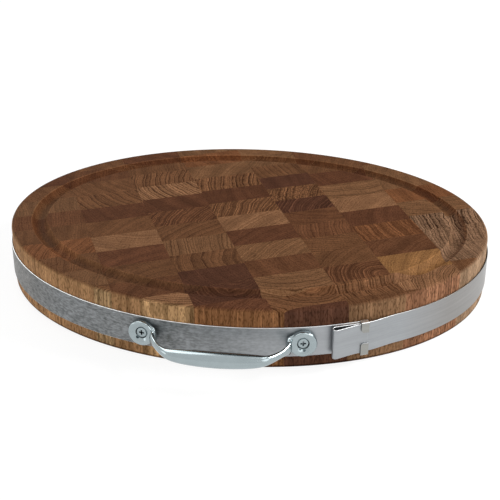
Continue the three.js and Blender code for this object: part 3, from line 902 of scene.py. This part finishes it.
def screwProfile(grow):  # grow makes the hole the screw sits in
    shank, head = screw["diameter"] / 2 + grow, screw["head"] / 2 + grow * 2
    low = -screw["headSunk"]
    neck = low - screw["headRim"] - head + shank
    points = [(0, -screw["length"]), (shank, -screw["length"] + screw["diameter"]), (shank, neck),
              (head, low - screw["headRim"])]
    if grow:
        return points + [(head + screw["holeFlare"], screw["holeTop"]), (0, screw["holeTop"])]
    inward, down = screw["rimEase"]
    return points + [(head, low - down), (head - inward, low), (0, low + screw["crown"])]


def padProfile():  # face dished towards the screw, rounded front edge, straight wall, eased back edge
    r, t, front = handle["padDiameter"] / 2, handle["padThickness"], handle["padRound"]
    ease, dish = handle["padBackEase"], handle["padDish"]
    points = [(0, -t), (r - ease, -t), (r, -t + ease)]
    for i in range(handle["padRoundSteps"] + 1):
        turn = math.radians(90 * i / handle["padRoundSteps"])
        points.append((r - front + front * math.cos(turn), -front + front * math.sin(turn)))
    span = r - front - screw["head"] / 2
    count = handle["dishSteps"]
    for i in range(1, count + 1):
        points.append((r - front - span * i / count, -dish * (i / count) ** handle["dishPower"]))
    return points + [(0, -dish)]


def barStations():  # middle line of the bar from pad to pad
    reach, pad = handle["gripReach"], handle["padThickness"]
    gripY = -board["halfWide"] - reach
    halves = []
    for sign in (-1, 1):
        place = rimPlace(sign * handle["holeSpacing"] / 2)
        inward = -sign * handle["padDiameter"]
        half = []
        for name, depth in (("root", pad), ("edge", pad), ("neck", reach)):
            along, out = handle[name]
            half.append(place @ Vector((inward * along, overStrap + depth * out, 0)))
        end = sign * handle["gripSpan"] / 2
        half.append(Vector((end, gripY + reach * handle["kneeBack"], handle["kneeLift"])))
        half.append(Vector((end * handle["shoulder"], gripY, handle["gripLift"])))
        halves.append(half)
    middle = Vector((0, gripY - handle["gripBow"], handle["gripLift"]))
    points = halves[0] + [middle] + halves[1][::-1]
    smooth = []
    for i in range(len(points) - 1):  # one bezier piece between each pair, handles from the neighbours
        before, here = points[max(i - 1, 0)], points[i]
        there, after = points[i + 1], points[min(i + 2, len(points) - 1)]
        leave, arrive = here + (there - before) / 6, there - (after - here) / 6
        piece = geometry.interpolate_bezier(here, leave, arrive, there, handle["curvePoints"])
        smooth += piece[:-1]
    smooth.append(points[-1])
    return smooth


def barSize(share):  # half height and half thickness of the bar at a share of its length
    fromEnd = min(share, 1 - share)
    # the swelling rises to its crest at half a wave and stays there
    swelling = min(max((fromEnd - handle["swellFrom"]) / handle["swellSpan"], 0), 0.5)
    swell = math.sin(math.pi * swelling) ** handle["swellPower"]
    root = max(0.0, 1 - fromEnd / handle["rootLength"]) ** handle["rootPower"]
    high = handle["neckHeight"] + (handle["gripHeight"] - handle["neckHeight"]) * swell
    high += (handle["rootHeight"] - handle["neckHeight"]) * root
    thick = handle["neckThickness"] + (handle["gripThickness"] - handle["neckThickness"]) * swell
    return high / 2, thick / 2


def makeBar():
    stations = barStations()
    total = len(stations) - 1
    bm = bmesh.new()
    bmesh.ops.create_circle(bm, segments=handle["barSteps"], radius=1.0)
    ring = bm.edges[:]
    last = Matrix.Identity(4)
    for i, point in enumerate(stations):
        run = (stations[min(i + 1, total)] - stations[max(i - 1, 0)]).normalized()
        side = Vector((run.y, -run.x, 0))
        high, thick = barSize(i / total)
        here = Matrix((side * thick, up * high, run)).transposed().to_4x4()
        here.translation = point + up * strapMiddle
        if i:
            grown = bmesh.ops.extrude_edge_only(bm, edges=ring)["geom"]
            ring = onlyEdges(grown)
        ringVerts = list({v for e in ring for v in e.verts})
        bmesh.ops.transform(bm, matrix=here @ last.inverted(), verts=ringVerts)
        last = here
    bmesh.ops.holes_fill(bm, edges=[e for e in bm.edges if e.is_boundary])
    faceOut(bm)
    return bm


def makeHandle(material):
    bar = loneObject(makeBar(), "bar")
    pads, holes = [], []
    for sign in (-1, 1):
        place = facing(sign * handle["holeSpacing"] / 2, padFront)
        pad = spinProfile(padProfile(), handle["padSteps"])
        putAt(pad, place)
        pads.append(loneObject(pad, "pad"))
        hole = spinProfile(screwProfile(screw["holeGap"]), screw["steps"])
        putAt(hole, place)
        holes.append(loneObject(hole, "hole"))
        for across, lift, size in handle["pits"][sign]:
            pit = spinProfile([(r * size, h * size) for r, h in handle["pitShape"]], handle["pitSteps"])
            putAt(pit, place @ Matrix.Translation((across, 0, lift)))
            holes.append(loneObject(pit, "pit"))
    joined = loneObject(joinShapes(bar, pads, "UNION"), "barAndPads")
    bm = joinShapes(joined, holes, "DIFFERENCE")
    finishPiece(bm, "pull_handle_zinc", material, ["pull_handle"], handle["crease"])


def makeScrew(name, x, material):
    place = facing(x, padFront)
    body = spinProfile(screwProfile(0), screw["steps"])
    cross = (screw["crossSpan"], screw["crossWidth"])
    bars = []
    for span, width in (cross, cross[::-1]):
        slot = bmesh.new()
        bmesh.ops.create_cube(slot, size=1.0)
        bmesh.ops.scale(slot, vec=(span, 2 * screw["crossDepth"], width), verts=slot.verts)
        tips = [v for v in slot.verts if v.co.y < 0]
        bmesh.ops.scale(slot, vec=(screw["crossTaper"], 1, screw["crossTaper"]), verts=tips)
        putAt(slot, place @ Matrix.Translation((0, -screw["headSunk"], 0)))
        bars.append(loneObject(slot, "slot"))
    putAt(body, place)
    bm = joinShapes(loneObject(body, "screwBody"), bars, "DIFFERENCE")
    finishPiece(bm, name + "_zinc", material, [name], screw["crease"])


zincMaterial = makeZincMaterial()
makeHandle(zincMaterial)
makeScrew("screw_left", -handle["holeSpacing"] / 2, zincMaterial)
makeScrew("screw_right", handle["holeSpacing"] / 2, zincMaterial)
print("handle and screws made")


# floor, light and world

studio = {
    "floorColour": "#f7f7f6",
    "floorSize": 6.0,
    "floorShown": 0.78,  # share of plain white, for the camera and the metal alone
    "floorWhite": 1.11,
    "worldStrength": 0.32,
    "glossyExtra": 0.66,  # metal sees a brighter room than the wood is lit by
    "darkPatch": (0.17, 0.77, 0.615),  # the room's dark side, which metal mirrors on its far edges
    "darkFrom": 0.74,  # cosines of the angles at which the dark begins and is full
    "darkFull": 0.85,
    "darkLevel": 0.03,
    "lamps": (
        {"name": "right", "place": (1.1, 0.2, 0.8), "width": 0.6, "height": 0.6, "power": 14.8},
        {"name": "back", "place": (-0.72, 0.8, 0.95), "width": 0.7, "height": 0.6, "power": 3.7},
        {"name": "frontLeft", "place": (-0.95, -1.05, 0.45), "width": 2.2, "height": 0.8, "power": 10.5,
         "seen": "diffuse"},
        {"name": "frontRight", "place": (1.0, -0.9, 0.6), "width": 1.0, "height": 1.0, "power": 3.2},
        {"name": "topCard", "place": (-0.62, 0.14, 1.05), "width": 1.1, "height": 0.95, "power": 5.0,
         "seen": "glossy"},
        {"name": "leftCard", "place": (-1.25, -0.42, 0.12), "width": 0.9, "height": 0.7, "power": 1.8,
         "seen": "glossy"},
        {"name": "ceilingCard", "place": (0.42, 0.0, 1.1), "width": 0.9, "height": 0.22, "power": 1.3,
         "seen": "glossy"},
    ),
    "aim": Vector((0, 0, 20 * mm)),
}


def makeFloor():
    # matt white card: plain white to the eye and in the metal, with a soft shadow under the board
    material, tree = newMaterial("mattWhiteCard")
    path = addNode(tree, "LightPath")
    seen = addNode(tree, "Math", {"operation": "ADD", "use_clamp": True}, {
        0: path.outputs["Is Camera Ray"], 1: path.outputs["Is Glossy Ray"]})
    share = addNode(tree, "Math", {"operation": "MULTIPLY"}, {0: seen, 1: studio["floorShown"]})
    matte = addNode(tree, "BsdfDiffuse", inputs={"Color": hexColour(studio["floorColour"])})
    glow = addNode(tree, "Emission", inputs={"Color": (1, 1, 1, 1), "Strength": studio["floorWhite"]})
    mixed = addNode(tree, "MixShader", inputs={0: share, 1: matte, 2: glow})
    addNode(tree, "OutputMaterial", inputs={"Surface": mixed})
    bm = bmesh.new()
    bmesh.ops.create_grid(bm, x_segments=2, y_segments=2, size=studio["floorSize"] / 2)
    mesh = toMesh(bm, "floor")
    mesh.materials.append(material)
    floor = addObject("floor", mesh)


def makeLight():
    for lamp in studio["lamps"]:
        data = bpy.data.lights.new(lamp["name"], "AREA")
        data.shape = "ELLIPSE"
        data.size = lamp["width"]
        data.size_y = lamp["height"]
        data.energy = lamp["power"]
        thing = addObject(lamp["name"], data)
        thing.location = lamp["place"]
        thing.rotation_mode = "QUATERNION"
        thing.rotation_quaternion = (studio["aim"] - Vector(lamp["place"])).to_track_quat("-Z", "Y")
        thing.visible_glossy = lamp.get("seen") != "diffuse"  # a fill lamp stays out of the reflections
        thing.visible_diffuse = lamp.get("seen") != "glossy"  # a card only shows in them
    world = bpy.data.worlds.new("studio")
    world.use_nodes = True
    tree = world.node_tree
    tree.nodes.clear()
    # white to the camera; metal mirrors a brighter room with one dark side
    path = addNode(tree, "LightPath")
    way = addNode(tree, "TexCoord").outputs["Generated"]
    near = addNode(tree, "VectorMath", {"operation": "DOT_PRODUCT"}, {0: way, 1: studio["darkPatch"]})
    room = addNode(tree, "MapRange", inputs={
        "Value": near.outputs["Value"], "From Min": studio["darkFrom"], "From Max": studio["darkFull"],
        "To Min": studio["worldStrength"] + studio["glossyExtra"], "To Max": studio["darkLevel"]})
    shown = addNode(tree, "Mix", {"data_type": "FLOAT"}, {
        "Factor": path.outputs["Is Glossy Ray"], 2: studio["worldStrength"], 3: room})
    level = addNode(tree, "Math", {"operation": "MAXIMUM"}, {0: path.outputs["Is Camera Ray"], 1: shown})
    sky = addNode(tree, "Background", inputs={"Color": (1, 1, 1, 1), "Strength": level})
    addNode(tree, "OutputWorld", inputs={"Surface": sky})
    bpy.context.scene.world = world


makeFloor()
makeLight()
bpy.context.scene.view_settings.view_transform = "Standard"
print("studio set")
